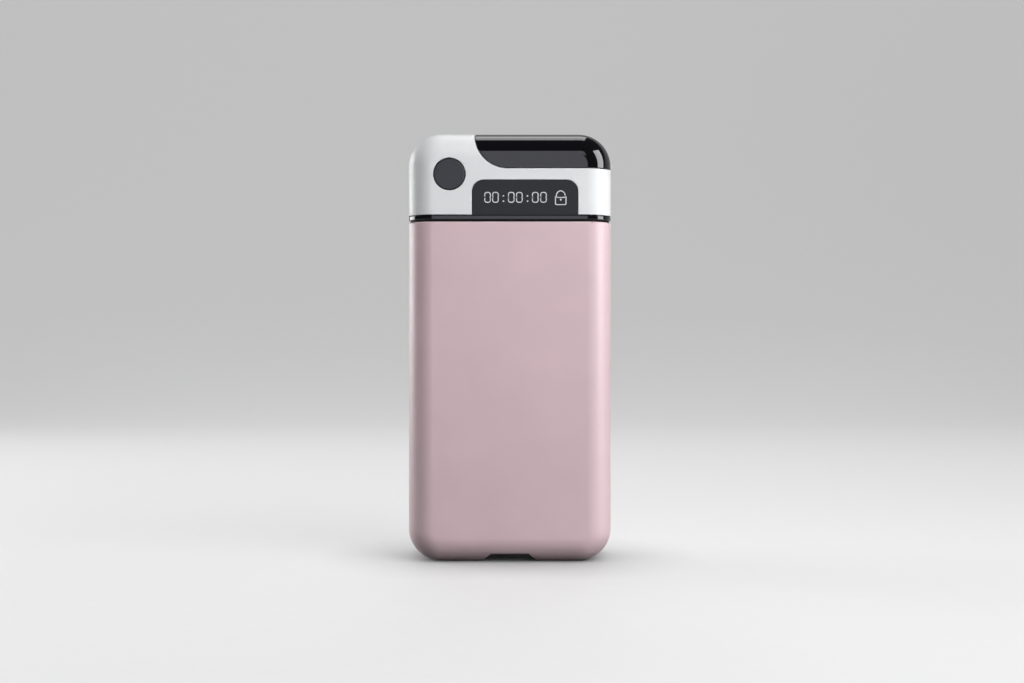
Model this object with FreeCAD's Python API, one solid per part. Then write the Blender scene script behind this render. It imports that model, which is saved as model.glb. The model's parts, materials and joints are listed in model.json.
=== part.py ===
"""Timed lock container: a free-standing pocket case with a lift-off head and a flip lid.

Units are millimetres. The origin is the middle of the base, +Z is up, the front faces -Y and the
lid's hinge is on the right, at +X. The parts are shown closed and unlocked.
"""
import FreeCAD, Part
import math
import os

os.makedirs("parts", exist_ok=True)
V = FreeCAD.Vector
AXIS_Y = V(0, 1, 0)
AXIS_Z = V(0, 0, 1)

# Outer form ------------------------------------------------------------------------------------
WIDTH = 60.0
DEPTH = 32.0
CORNER_R = 9.5            # corners of the outline, seen from the front
EDGE_R = 7.5              # rounding of the front and back edges

# Container body --------------------------------------------------------------------------------
BODY_HEIGHT = 100.1
BODY_WALL = 1.4
RIM_CHAMFER = 0.3
LINER_WALL = 0.8
LINER_FIT = 0.1           # gap between shell and liner
LINER_FOOT = 5.0          # bevel around the liner's floor
NOTCH_MOUTH = 16.5
NOTCH_HEIGHT = 2.7
NOTCH_SLOPE = 45.0
TRIM_WALL = 0.8
TRIM_LIP = 1.6            # how far the trim reaches past the notch inside the shell
TRIM_EDGE = 0.45          # thickness of the trim where it shows in the notch
TRIM_SET_BACK = 0.3       # the trim's edge behind the shell's surface
PAD_THICKNESS = 1.0
SUPPORT_RIB = 1.2
SUPPORT_RIB_X = 17.0

# Joint between body and head -------------------------------------------------------------------
GASKET_HEIGHT = 0.6
GASKET_INSET = 0.5
BAND_HEIGHT = 1.2
BAND_CHAMFER = 0.15
SEAM_HEIGHT = 0.25        # shadow line between band and white shell
SEAM_INSET = 0.45
SKIRT_CLEARANCE = 0.3
SKIRT_WALL = 1.4
SKIRT_DEPTH = 7.0
FLOOR_THICKNESS = 1.4
SNAP_LIP_HEIGHT = 2.4
SNAP_LIP_WALL = 1.0
SNAP_REACH = 0.35
SNAP_LENGTH = 8.0
SNAP_HEIGHT = 0.8
SNAP_ROOT = 0.2           # how far a barb is set into the lip
LIP_FIT = 0.1             # between the head's wall and the lip

# Head shell, window and button -----------------------------------------------------------------
HEAD_HEIGHT = 26.4        # from the body's rim to the top of the case
HEAD_WALL = 1.6
DECK_THICKNESS = 1.4
WINDOW_UNDER_DECK = 3.35  # strip between the window and the top of the deck
WINDOW_FROM_LEFT = 18.95
WINDOW_FROM_RIGHT = 10.0
WINDOW_CORNER_R = 3.4
LENS_FIT = 0.08
LENS_SET_BACK = 0.08
LENS_FLANGE = 0.8
LENS_FLANGE_REACH = 0.9
BUTTON_HOLE_R = 4.8
BUTTON_GAP = 0.25
BUTTON_FROM_SIDE = 12.33
BUTTON_FROM_TOP = 12.5
BUTTON_FLANGE_REACH = 0.8
BUTTON_FLANGE = 0.8
BUTTON_CLEARANCE = 0.1    # behind the head's wall
BUTTON_TRAVEL = 0.4
BUTTON_CHAMFER = 0.25

# Lid -------------------------------------------------------------------------------------------
LID_FROM_LEFT = 19.9      # width of the fixed part of the top
LID_HEIGHT = 10.6
LID_SWEEP_R = 9.5         # the round lower left corner
LID_GAP = 0.25
LID_WALL = 1.6
LID_LINER_WALL = 1.2
LID_LINER_FIT = 0.1
LID_PAN_DEPTH = 2.0
LID_PAN_MARGIN = 1.0
LID_SEAL = 1.1
LID_SEAL_FIT = 0.1

# Hinge -----------------------------------------------------------------------------------------
BARREL_R = 1.0
BARREL_PROUD = 0.5        # how far the barrel stands out of the side
BARREL_ABOVE_LID_EDGE = 1.0
BARREL_LENGTH = 16.8
LID_KNUCKLE_LENGTH = 8.8
KNUCKLE_GAP = 0.2
PIN_R = 0.45
PIN_CLEARANCE = 0.04
BRACKET_THICKNESS = 0.6
BRACKET_WIDTH = 3.6
BRACKET_RELIEF = 0.35
BRACKET_SCREW_EDGE = 0.2  # beside the screw heads
BRACKET_SCREW_SHORT = 0.2 # the screws end above the deck's underside
KNUCKLE_WEB = 0.6

# Port under the lid ----------------------------------------------------------------------------
PORT_FROM_SIDE = 5.4
PORT_FROM_BACK = 4.6
SLEEVE_BEHIND_BOARD = 1.7
SLEEVE_BESIDE_ARM = 1.6
PORT_CORNER_R = 3.0
SLEEVE_WALL = 1.0
SLEEVE_RIM = 0.85         # height of the rim above the deck
SLEEVE_FIT = 0.1

# Electronics -----------------------------------------------------------------------------------
MODULE_MARGIN = 0.525     # inside the window on each side
MODULE_RISE = 0.5
MODULE_UNDER_WINDOW_TOP = 0.85
MODULE_CORNER_R = 0.4
MODULE_THICKNESS = 1.8
MODULE_GAP = 0.1          # in front of the board
BOARD_THICKNESS = 1.2
BOARD_BEHIND_WALL = 2.9
BOARD_FROM_SIDE = 6.6
BOARD_CORNER_R = 1.0
BOARD_UNDER_DECK = 0.6
BOARD_BOSS_R = 1.1
BOARD_BOSS_RISE = 3.875   # the left boss above the window's lower edge
BOARD_BOSS_UNDER_DECK = 5.525
BOARD_SCREW_LENGTH = 2.4
BOARD_TAB_WIDTH = 11.0
BOARD_TAB_TOP = 6.0       # below the top of the head
# Chips: place beside the sleeve, above the display's middle, then width, height and thickness
CONTROLLER = (8.0, -0.5, 5.0, 5.0, 0.9)
DRIVER = (3.2, -1.0, 2.6, 2.9, 0.8)
CRYSTAL = (3.2, 3.2, 2.0, 1.6, 0.6)
SWITCH_SIZE = 4.6
SWITCH_THICKNESS = 1.4
PLUNGER_R = 0.9
PLUNGER_CLEARANCE = 0.1
PLUNGER_PIP = 0.1         # the pip on the button that meets the plunger
BATTERY_WIDTH = 12.4
BATTERY_HEIGHT = 16.6
BATTERY_FROM_SIDE = 4.0
BATTERY_BEHIND_BOARD = 1.0
BATTERY_GAP = 0.15        # in front of the frame's posts
BATTERY_ROUNDING = 0.225  # corner radius as a share of the thickness
CHARGE_PORT_WIDTH = 8.94
CHARGE_PORT_HEIGHT = 3.16
CHARGE_PORT_LENGTH = 6.5
CHARGE_PORT_WALL = 0.3
CHARGE_PORT_FIT = 0.2
CHARGE_PORT_SET_BACK = 0.1
CHARGE_PORT_ABOVE_FRAME = 4.6
CHARGE_TONGUE_WIDTH = 6.7
CHARGE_TONGUE_THICKNESS = 0.7
CHARGE_TONGUE_LENGTH = 4.6
CHARGE_SHELL_END = 0.8
CHARGE_BOARD_WIDTH = 10.8
CHARGE_BOARD_THICKNESS = 1.0
CHARGE_BOARD_GAP = 1.2
CHARGE_BOARD_FROM_WALL = 1.6
CHARGE_STAND_R = 0.9
CHARGE_STAND_SPREAD = 1.6

# Lock gear train -------------------------------------------------------------------------------
MODULE_M = 0.5
PRESSURE_ANGLE = 25.0
ADDENDUM = 0.8            # in modules
DEDENDUM = 1.1            # in modules
PINION_TEETH = 10
GEAR_TEETH = 24
BACKLASH = 0.08
MOTOR_FROM_SIDE = 10.5
GEAR_BEYOND_MOTOR = 8.0   # along X
GEAR_FROM_BACK = 10.9
RACK_PITCH_Y = 2.6        # behind the slider's centre line
GEAR_FACE = 1.4
RACK_FACE = 1.8
GEAR_LIFT = 0.4           # clearance between slider and large gear
GEAR_PIN_R = 0.75
GEAR_PIN_SEAT = 0.4       # closed end of the pin's hole in the floor
GEAR_HUB_WALL = 0.7
GEAR_HUB_GAP = 0.15       # under the frame
GEAR_FLOAT = 0.1          # above the slider's lower face
GEAR_BORE_CLEARANCE = 0.05
MOTOR_SHAFT_R = 0.6
MOTOR_SHAFT_PROUD = 0.2   # below the pinion
MOTOR_SHAFT_ROOM = 0.3    # around the shaft in the frame
MOTOR_SHAFT_END_GAP = 0.1
MOTOR_CAN_R = 3.5
MOTOR_CAN_CHAMFER = 0.5
MOTOR_COLLAR_R = 1.2
MOTOR_COLLAR = 0.6
MOTOR_CAN_LENGTH = 11.0
MOTOR_BOX_SIZE = 8.4
MOTOR_BOX_HEIGHT = 2.6
MOTOR_BOX_CORNER_R = 1.2
MOTOR_BORE_END = 0.8
FRAME_THICKNESS = 1.2
FRAME_MARGIN = 0.5        # above the large gear
FRAME_POST_R = 0.95
FRAME_EDGE = 1.6
FRAME_BEYOND_GEAR = 4.0
FRAME_CORNER_R = 1.2
POST_GAP = 0.1
GUIDE_THICKNESS = 1.0
SWITCH_BODY_DEPTH = 1.8
SWITCH_BODY_HEIGHT = 1.6
SWITCH_LEVER = 0.5

# Lock slider, bolt and hook --------------------------------------------------------------------
LOCK_TRAVEL = 2.4
SLIDER_FLOOR_GAP = 0.15
SLIDER_HALF_WIDTH = 3.0
SLIDER_SIDE_GAP = 0.15
BOLT_WIDTH = 4.0
BOLT_HEIGHT = 2.0
BOLT_BELOW_RIM = 5.1      # the bolt's underside below the body's rim
BOLT_REST_GAP = 1.1       # between the bolt's tip and the strike when unlocked
BOLT_CLEARANCE = 0.3
LEG_THICKNESS = 2.0
LEG_SOCKET_WALL = 0.8     # the slider's edge beyond the bolt's leg and the catch
BOLT_LEAD = 0.4
HOUSING_WALL = 0.8
KEEPER_LENGTH = 9.0
KEEPER_HEIGHT = 5.6
KEEPER_PROUD = 1.2        # how far the strike stands out of the sleeve's wall
KEEPER_PLAY = 0.5         # around the bolt in the strike
KEEPER_ROOM = 0.3         # around the strike in the skirt's notch
HOOK_THICKNESS = 1.5
HOOK_WIDTH = 6.0
HOOK_FROM_LID_END = 4.1
HOOK_REACH = 8.4          # below the lid's lower edge
HOOK_WINDOW_WIDTH = 4.4
HOOK_WINDOW_HEIGHT = 3.0
HOOK_WEB = 1.4            # material below the hook's window
HOOK_FLANGE = 1.0
HOOK_FLANGE_LENGTH = 5.0
HOOK_SEAT = 4.0           # above the lid's lower edge
HOOK_BOSS_MARGIN = 1.2
HOOK_SWING_ROOM = 1.7     # the hook swings to the left as the lid opens
HOOK_SLOT_GAP = 0.5
HOOK_LEAD = 0.4
NOSE_HEIGHT = 1.8
NOSE_WIDTH = 3.4
NOSE_GAP = 0.3
NOSE_LEAD = 0.3
ARM_THICKNESS = 2.2

# Small screws ----------------------------------------------------------------------------------
SCREW_R = 0.5
SCREW_HEAD_R = 1.0
SCREW_HEAD_HEIGHT = 0.5
SCREW_LENGTH = 3.0
SCREW_CLEARANCE = 0.1     # in the frame
THREAD_FIT = 0.02
THREAD_SPARE = 0.2        # depth of a hole beyond its screw
HOOK_SCREW_GRIP = 1.4     # thread length in the lid's boss

# Modelling allowances --------------------------------------------------------------------------
MERGE = 0.2               # overlap of features that are joined in one piece
PAST = 1.0                # reach of a cut past the face it leaves by
STADIUM_FLAT = 0.02       # flat left between two end rounds

# Derived places --------------------------------------------------------------------------------
HEIGHT = BODY_HEIGHT + HEAD_HEIGHT
SIDE = WIDTH / 2
FRONT = -DEPTH / 2
BACK = DEPTH / 2
BAND_Z = BODY_HEIGHT + GASKET_HEIGHT
FLOOR_TOP = BAND_Z + FLOOR_THICKNESS
HEAD_Z = BAND_Z + BAND_HEIGHT + SEAM_HEIGHT
LID_Z = HEIGHT - LID_HEIGHT
LID_LEFT = LID_FROM_LEFT - SIDE
DECK_Z = LID_Z - LID_GAP
SWEEP_CENTRE = (LID_LEFT + LID_SWEEP_R, LID_Z + LID_SWEEP_R)
LINER_INSET = BODY_WALL + LINER_FIT
CAVITY_INSET = LINER_INSET + LINER_WALL
SKIRT_INSET = CAVITY_INSET + SKIRT_CLEARANCE
SKIRT_INNER = SKIRT_INSET + SKIRT_WALL
SKIRT_Z = BODY_HEIGHT - SKIRT_DEPTH
LINER_BASE = NOTCH_HEIGHT + TRIM_WALL
HINGE_X = SIDE + BARREL_PROUD - BARREL_R
HINGE_Z = LID_Z + BARREL_ABOVE_LID_EDGE
WALL_BACK_OF_FRONT = FRONT + HEAD_WALL
BUTTON_X = BUTTON_FROM_SIDE - SIDE
BUTTON_Z = HEIGHT - BUTTON_FROM_TOP
BOARD_FRONT = WALL_BACK_OF_FRONT + BOARD_BEHIND_WALL
BOARD_BACK = BOARD_FRONT + BOARD_THICKNESS
BOARD_HALF_WIDTH = SIDE - BOARD_FROM_SIDE
WINDOW_TOP = DECK_Z - WINDOW_UNDER_DECK
WINDOW_WIDTH = WIDTH - WINDOW_FROM_LEFT - WINDOW_FROM_RIGHT
WINDOW_CENTRE_X = (WINDOW_FROM_LEFT - WINDOW_FROM_RIGHT) / 2
PINION_PITCH_R = MODULE_M * PINION_TEETH / 2
GEAR_PITCH_R = MODULE_M * GEAR_TEETH / 2
GEAR_Y = BACK - GEAR_FROM_BACK
LOCK_Y = GEAR_Y - PINION_PITCH_R - RACK_PITCH_Y
GUIDE_Y = LOCK_Y - SLIDER_HALF_WIDTH - SLIDER_SIDE_GAP
POST_Y = GUIDE_Y - POST_GAP - FRAME_POST_R
BATTERY_FRONT = BOARD_BACK + BATTERY_BEHIND_BOARD
BATTERY_BACK = POST_Y - FRAME_POST_R - BATTERY_GAP
SLIDER_Z = FLOOR_TOP + SLIDER_FLOOR_GAP
SLIDER_TOP = SLIDER_Z + RACK_FACE
GEAR_Z = SLIDER_TOP + GEAR_LIFT
GEAR_TOP = GEAR_Z + GEAR_FACE
FRAME_Z = GEAR_TOP + FRAME_MARGIN
FRAME_TOP = FRAME_Z + FRAME_THICKNESS
MOTOR_X = MOTOR_FROM_SIDE - SIDE
GEAR_X = MOTOR_X + GEAR_BEYOND_MOTOR
MOTOR_Y = GEAR_Y - math.sqrt((PINION_PITCH_R + GEAR_PITCH_R) ** 2 - GEAR_BEYOND_MOTOR ** 2)
MOTOR_BOX_TOP = FRAME_TOP + MOTOR_BOX_HEIGHT
BOLT_Z = BODY_HEIGHT - BOLT_BELOW_RIM
KEEPER_FACE = CAVITY_INSET + KEEPER_PROUD - SIDE
BOLT_TIP = KEEPER_FACE + BOLT_REST_GAP
LEG_LEFT = -(SIDE - SKIRT_INNER) + BOLT_CLEARANCE + LOCK_TRAVEL
LEG_RIGHT = LEG_LEFT + LEG_THICKNESS
HOOK_LEFT = LID_LEFT + HOOK_FROM_LID_END
HOOK_RIGHT = HOOK_LEFT + HOOK_THICKNESS
HOOK_BOTTOM = LID_Z - HOOK_REACH
HOOK_WINDOW_Z = HOOK_BOTTOM + HOOK_WEB
NOSE_Z = HOOK_WINDOW_Z + (HOOK_WINDOW_HEIGHT - NOSE_HEIGHT) / 2
NOSE_TIP = HOOK_RIGHT + NOSE_GAP
ARM_LEFT = HOOK_RIGHT + NOSE_GAP + LOCK_TRAVEL
ARM_RIGHT = ARM_LEFT + ARM_THICKNESS
PORT_LEFT = ARM_RIGHT + SLEEVE_BESIDE_ARM + SLEEVE_WALL
PORT_RIGHT = SIDE - PORT_FROM_SIDE
PORT_FRONT = BOARD_BACK + SLEEVE_BEHIND_BOARD + SLEEVE_WALL
PORT_BACK = BACK - PORT_FROM_BACK
CHARGE_X = MOTOR_X
CHARGE_Z = FRAME_TOP + CHARGE_PORT_ABOVE_FRAME
CHARGE_BACK = BACK - CHARGE_PORT_SET_BACK
HOOK_SEAT_Z = LID_Z + HOOK_SEAT


def save(name, solids):
    """Write one node: a solid, or a group of separate solids."""
    shapes = solids if isinstance(solids, list) else [solids]
    shape = shapes[0] if len(shapes) == 1 else Part.makeCompound(shapes)
    shape.exportStep("parts/" + name + ".step")


def box(x, y, z):
    """Box from three (low, high) pairs."""
    size = [high - low for low, high in (x, y, z)]
    return Part.makeBox(size[0], size[1], size[2], V(x[0], y[0], z[0]))


def rod_y(radius, x, z, y_low, y_high):
    """Cylinder along Y."""
    return Part.makeCylinder(radius, y_high - y_low, V(x, y_low, z), AXIS_Y)


def rod_z(radius, x, y, z_low, z_high):
    """Cylinder along Z."""
    return Part.makeCylinder(radius, z_high - z_low, V(x, y, z_low), AXIS_Z)


def fused(first, *others):
    """One solid out of several that touch or overlap."""
    return first.multiFuse(list(others)).removeSplitter()


def prism(points, along):
    """Solid swept from a flat polygon."""
    return Part.Face(Part.makePolygon(points + points[:1])).extrude(along)


def rounded_outline(width, height, radius, centre_x, centre_z, y):
    """Rounded rectangle in the XZ plane, as a face at the given Y."""
    block = Part.makeBox(width, 1.0, height, V(centre_x - width / 2, y, centre_z - height / 2))
    upright = [e for e in block.Edges if abs(e.tangentAt(e.FirstParameter).y) > 0.9]
    block = block.makeFillet(radius, upright)
    return [f for f in block.Faces if abs(f.CenterOfMass.y - y) < 1e-6][0]


def rounded_plate(width, height, radius, centre, y_low, y_high):
    """Plate across Y with a rounded rectangular outline."""
    face = rounded_outline(width, height, radius, centre[0], centre[1], y_low)
    return face.extrude(V(0, y_high - y_low, 0))


def rounded_block(inset, base, top):
    """The case's outer form, drawn in by inset on every side, from base to top."""
    width = WIDTH - 2 * inset
    depth = DEPTH - 2 * inset
    centre_z = (base + top) / 2
    block = rounded_plate(width, top - base, CORNER_R - inset, (0, centre_z), -depth / 2, depth / 2)
    ends = [e for f in block.Faces if abs(abs(f.CenterOfMass.y) - depth / 2) < 1e-6 for e in f.Edges]
    return block.makeFillet(EDGE_R - inset, ends)


def form(inset):
    """The whole case's form drawn in by inset."""
    return rounded_block(inset, inset, HEIGHT - inset)


def slab(inset, z_low, z_high):
    """Horizontal slice of the upright walls' plan, drawn in by inset."""
    plan = Part.makeBox(WIDTH - 2 * inset, DEPTH - 2 * inset, z_high - z_low,
                        V(inset - SIDE, FRONT + inset, z_low))
    upright = [e for e in plan.Edges if abs(e.tangentAt(e.FirstParameter).z) > 0.9]
    return plan.makeFillet(EDGE_R - inset, upright)


def ring(outer_inset, inner_inset, z_low, z_high):
    """Closed band that follows the case's plan."""
    return slab(outer_inset, z_low, z_high).cut(slab(inner_inset, z_low, z_high))


def well(width, depth, radius, centre, z_low, z_high):
    """Upright block with rounded corners."""
    block = Part.makeBox(width, depth, z_high - z_low,
                         V(centre[0] - width / 2, centre[1] - depth / 2, z_low))
    upright = [e for e in block.Edges if abs(e.tangentAt(e.FirstParameter).z) > 0.9]
    return block.makeFillet(radius, upright)


def port_well(grow, z_low, z_high):
    """The port's passage, grown by the given amount on every side."""
    centre = ((PORT_LEFT + PORT_RIGHT) / 2, (PORT_FRONT + PORT_BACK) / 2)
    return well(PORT_RIGHT - PORT_LEFT + 2 * grow, PORT_BACK - PORT_FRONT + 2 * grow,
                PORT_CORNER_R + grow, centre, z_low, z_high)


def lid_zone(gap):
    """Everything above and right of the lid's lower line, which sweeps up at its left end."""
    cx, cz = SWEEP_CENTRE
    radius = LID_SWEEP_R + gap
    beyond = 10.0
    top = HEIGHT + beyond
    right = SIDE + beyond
    start = V(cx - radius, -SIDE, top)
    turn = V(cx - radius, -SIDE, cz)
    middle = V(cx - radius * math.cos(math.pi / 4), -SIDE, cz - radius * math.sin(math.pi / 4))
    low = V(cx, -SIDE, cz - radius)
    corner = V(right, -SIDE, cz - radius)
    far = V(right, -SIDE, top)
    wire = Part.Wire([Part.makeLine(start, turn), Part.Arc(turn, middle, low).toShape(),
                      Part.makeLine(low, corner), Part.makeLine(corner, far),
                      Part.makeLine(far, start)])
    return Part.Face(wire).extrude(V(0, 2 * SIDE, 0))


def screw(position, direction, length=SCREW_LENGTH):
    """Screw with a bevelled head: position is under the head, direction points along the shank."""
    back = V(direction).multiply(-1)
    shank = Part.makeCylinder(SCREW_R, length, position, direction)
    flank = SCREW_HEAD_HEIGHT / 2
    head = Part.makeCylinder(SCREW_HEAD_R, flank, position, back)
    top = Part.makeCone(SCREW_HEAD_R, SCREW_HEAD_R - flank, flank, position + back * flank, back)
    return fused(head, top, shank)


def screw_hole(position, direction, length=SCREW_LENGTH):
    """The hole that the screw's shank fills, with a little room."""
    return Part.makeCylinder(SCREW_R + THREAD_FIT, length + THREAD_SPARE, position, direction)


# Container body --------------------------------------------------------------------------------
def trapezoid(mouth, height, y_low, y_high, base=0.0):
    """Prism along Y with a trapezoid section that narrows upwards, standing at base."""
    lean = height / math.tan(math.radians(NOTCH_SLOPE))
    corners = [(-mouth / 2, 0), (mouth / 2, 0), (mouth / 2 - lean, height), (lean - mouth / 2, height)]
    return prism([V(x, y_low, base + z) for x, z in corners], V(0, y_high - y_low, 0))


def keeper_block():
    """Outline of the strike, which is let into the sleeve's left wall."""
    centre_z = BOLT_Z + BOLT_HEIGHT / 2
    half_y = KEEPER_LENGTH / 2
    half_z = KEEPER_HEIGHT / 2
    return box((LINER_INSET - SIDE, KEEPER_FACE), (LOCK_Y - half_y, LOCK_Y + half_y),
               (centre_z - half_z, centre_z + half_z))


def bolt_room(clearance):
    """The space that the bolt sweeps, from its leg to the shell's wall."""
    return box((LINER_INSET - SIDE, LEG_RIGHT),
               (LOCK_Y - BOLT_WIDTH / 2 - clearance, LOCK_Y + BOLT_WIDTH / 2 + clearance),
               (BOLT_Z - clearance, BOLT_Z + BOLT_HEIGHT + clearance))


def keeper_screw_places():
    """Where the strike's rivets sit: flush with its inner face, pointing into the wall."""
    centre_z = BOLT_Z + BOLT_HEIGHT / 2
    reach = KEEPER_LENGTH / 2 - SCREW_HEAD_R
    return [V(KEEPER_FACE, LOCK_Y + side * reach, centre_z) for side in (-1, 1)]


def body_shell():
    outer = form(0).common(box((-SIDE, SIDE), (FRONT, BACK), (0, BODY_HEIGHT)))
    rim = [e for e in outer.Edges if abs(e.CenterOfMass.z - BODY_HEIGHT) < 1e-6]
    outer = outer.makeChamfer(RIM_CHAMFER, rim)
    shell = outer.cut(form(BODY_WALL))
    for side in (-1, 1):
        rib = box((side * SUPPORT_RIB_X - SUPPORT_RIB / 2, side * SUPPORT_RIB_X + SUPPORT_RIB / 2),
                  (FRONT + EDGE_R, BACK - EDGE_R), (BODY_WALL / 2, LINER_BASE))
        shell = shell.fuse(rib)
    shell = shell.removeSplitter()
    return shell.cut(trapezoid(NOTCH_MOUTH, NOTCH_HEIGHT, FRONT, BACK))


def base_channel_trim():
    """Insert that lines the notch: it fills the cut in the shell and has flat wings behind it."""
    lean = TRIM_WALL / math.tan(math.radians(NOTCH_SLOPE / 2))
    block = trapezoid(NOTCH_MOUTH + 2 * lean, NOTCH_HEIGHT + TRIM_WALL, FRONT, BACK)
    wing = NOTCH_MOUTH / 2 + lean + TRIM_LIP
    block = block.fuse(box((-wing, wing), (FRONT, BACK), (BODY_WALL, BODY_WALL + TRIM_WALL)))
    block = block.common(form(BODY_WALL))
    skin = trapezoid(NOTCH_MOUTH, NOTCH_HEIGHT, FRONT, BACK).common(form(TRIM_SET_BACK))
    block = block.fuse(skin)
    mouth = NOTCH_MOUTH - 2 * TRIM_EDGE / math.sin(math.radians(NOTCH_SLOPE))
    channel = trapezoid(mouth, NOTCH_HEIGHT - TRIM_EDGE, FRONT, BACK)
    return block.cut(channel).removeSplitter()


def liner_form(inset, foot, base):
    """Upright form of the sleeve, drawn in by inset, with a bevelled foot."""
    block = slab(inset, base, BODY_HEIGHT - RIM_CHAMFER / 2)
    bottom = [e for e in block.Edges if abs(e.CenterOfMass.z - base) < 1e-6]
    return block.makeChamfer(foot, bottom)


def body_liner():
    inner_foot = LINER_FOOT - LINER_WALL * (2 - math.sqrt(2))
    outer = liner_form(LINER_INSET, LINER_FOOT, LINER_BASE)
    liner = outer.cut(liner_form(CAVITY_INSET, inner_foot, LINER_BASE + LINER_WALL))
    return liner.cut(keeper_block())


def cavity_pad():
    """Soft pad that lies on the flat part of the sleeve's floor."""
    z_low = LINER_BASE + LINER_WALL
    reach = SIDE - CORNER_R
    depth = DEPTH - 2 * EDGE_R
    return well(2 * reach, depth, EDGE_R / 3, (0, 0), z_low, z_low + PAD_THICKNESS)


def keeper_plate():
    """Strike for the bolt: a thick steel plate with a window."""
    plate = keeper_block().cut(bolt_room(KEEPER_PLAY))
    for place in keeper_screw_places():
        plate = plate.cut(screw_hole(place, V(-1, 0, 0)))
    return plate


def keeper_screws():
    """Rivets through the strike, flush with both of its faces."""
    length = LINER_WALL + KEEPER_PROUD
    return [Part.makeCylinder(SCREW_R, length, place, V(-1, 0, 0)) for place in keeper_screw_places()]


# Head chassis: band, floor, skirt and bolt housing ---------------------------------------------
def sleeve_opening(z_low, z_high):
    return port_well(SLEEVE_WALL + SLEEVE_FIT, z_low, z_high)


def slider_slot():
    """Opening in the floor for the slider's leg."""
    half = BOLT_WIDTH / 2 + BOLT_CLEARANCE
    return box((SKIRT_INNER - SIDE, LEG_RIGHT + BOLT_CLEARANCE), (LOCK_Y - half, LOCK_Y + half),
               (BAND_Z, FLOOR_TOP))


def skirt_notch():
    """Opening in the skirt, free downwards, that passes the strike when the head is lifted."""
    half = KEEPER_LENGTH / 2 + KEEPER_ROOM
    top = BOLT_Z + BOLT_HEIGHT / 2 + KEEPER_HEIGHT / 2 + KEEPER_ROOM
    return box((-SIDE, SKIRT_INNER - SIDE), (LOCK_Y - half, LOCK_Y + half), (SKIRT_Z, top))


def bolt_housing():
    """Closed pocket under the floor around the leg and bolt, in one piece with the skirt."""
    half = BOLT_WIDTH / 2 + BOLT_CLEARANCE
    right = LEG_RIGHT + BOLT_CLEARANCE
    low = BOLT_Z - BOLT_CLEARANCE
    outer = box((SKIRT_INNER - SIDE, right + HOUSING_WALL),
                (LOCK_Y - half - HOUSING_WALL, LOCK_Y + half + HOUSING_WALL),
                (low - HOUSING_WALL, BAND_Z))
    inner = box((SKIRT_INNER - SIDE, right), (LOCK_Y - half, LOCK_Y + half), (low, BAND_Z))
    return outer.cut(inner)


def snap_places(pull=0.0):
    """Barbs on the chassis lip: along the back and on both sides, as wedges that point outwards."""
    inset = HEAD_WALL + LIP_FIT - pull
    high = FLOOR_TOP + SNAP_LIP_HEIGHT
    low = high - SNAP_HEIGHT
    reach = SNAP_REACH + LIP_FIT
    half = SNAP_LENGTH / 2
    barbs = []
    for side in (-1, 1):
        wall = side * (SIDE - inset)
        root = wall - side * SNAP_ROOT
        corners = [V(root, -half, low), V(wall + side * reach, -half, low), V(root, -half, high)]
        barbs.append(prism(corners, V(0, SNAP_LENGTH, 0)))
    for middle in ((PORT_LEFT + PORT_RIGHT) / 2, MOTOR_X):
        x = middle - half
        wall = BACK - inset
        root = wall - SNAP_ROOT
        corners = [V(x, root, low), V(x, wall + reach, low), V(x, root, high)]
        barbs.append(prism(corners, V(SNAP_LENGTH, 0, 0)))
    return barbs


def frame_posts():
    """Places of the posts that carry the gear frame."""
    far_x = MOTOR_X - MOTOR_BOX_SIZE / 2 + FRAME_POST_R - SCREW_HEAD_R / 3
    far_y = MOTOR_Y + MOTOR_BOX_SIZE / 2 + SCREW_HEAD_R + 3 * POST_GAP
    right_x = GEAR_X + FRAME_BEYOND_GEAR - FRAME_POST_R - POST_GAP
    return [(far_x, far_y), (MOTOR_X + MOTOR_SHAFT_R * 2, POST_Y), (right_x, POST_Y)]


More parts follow.
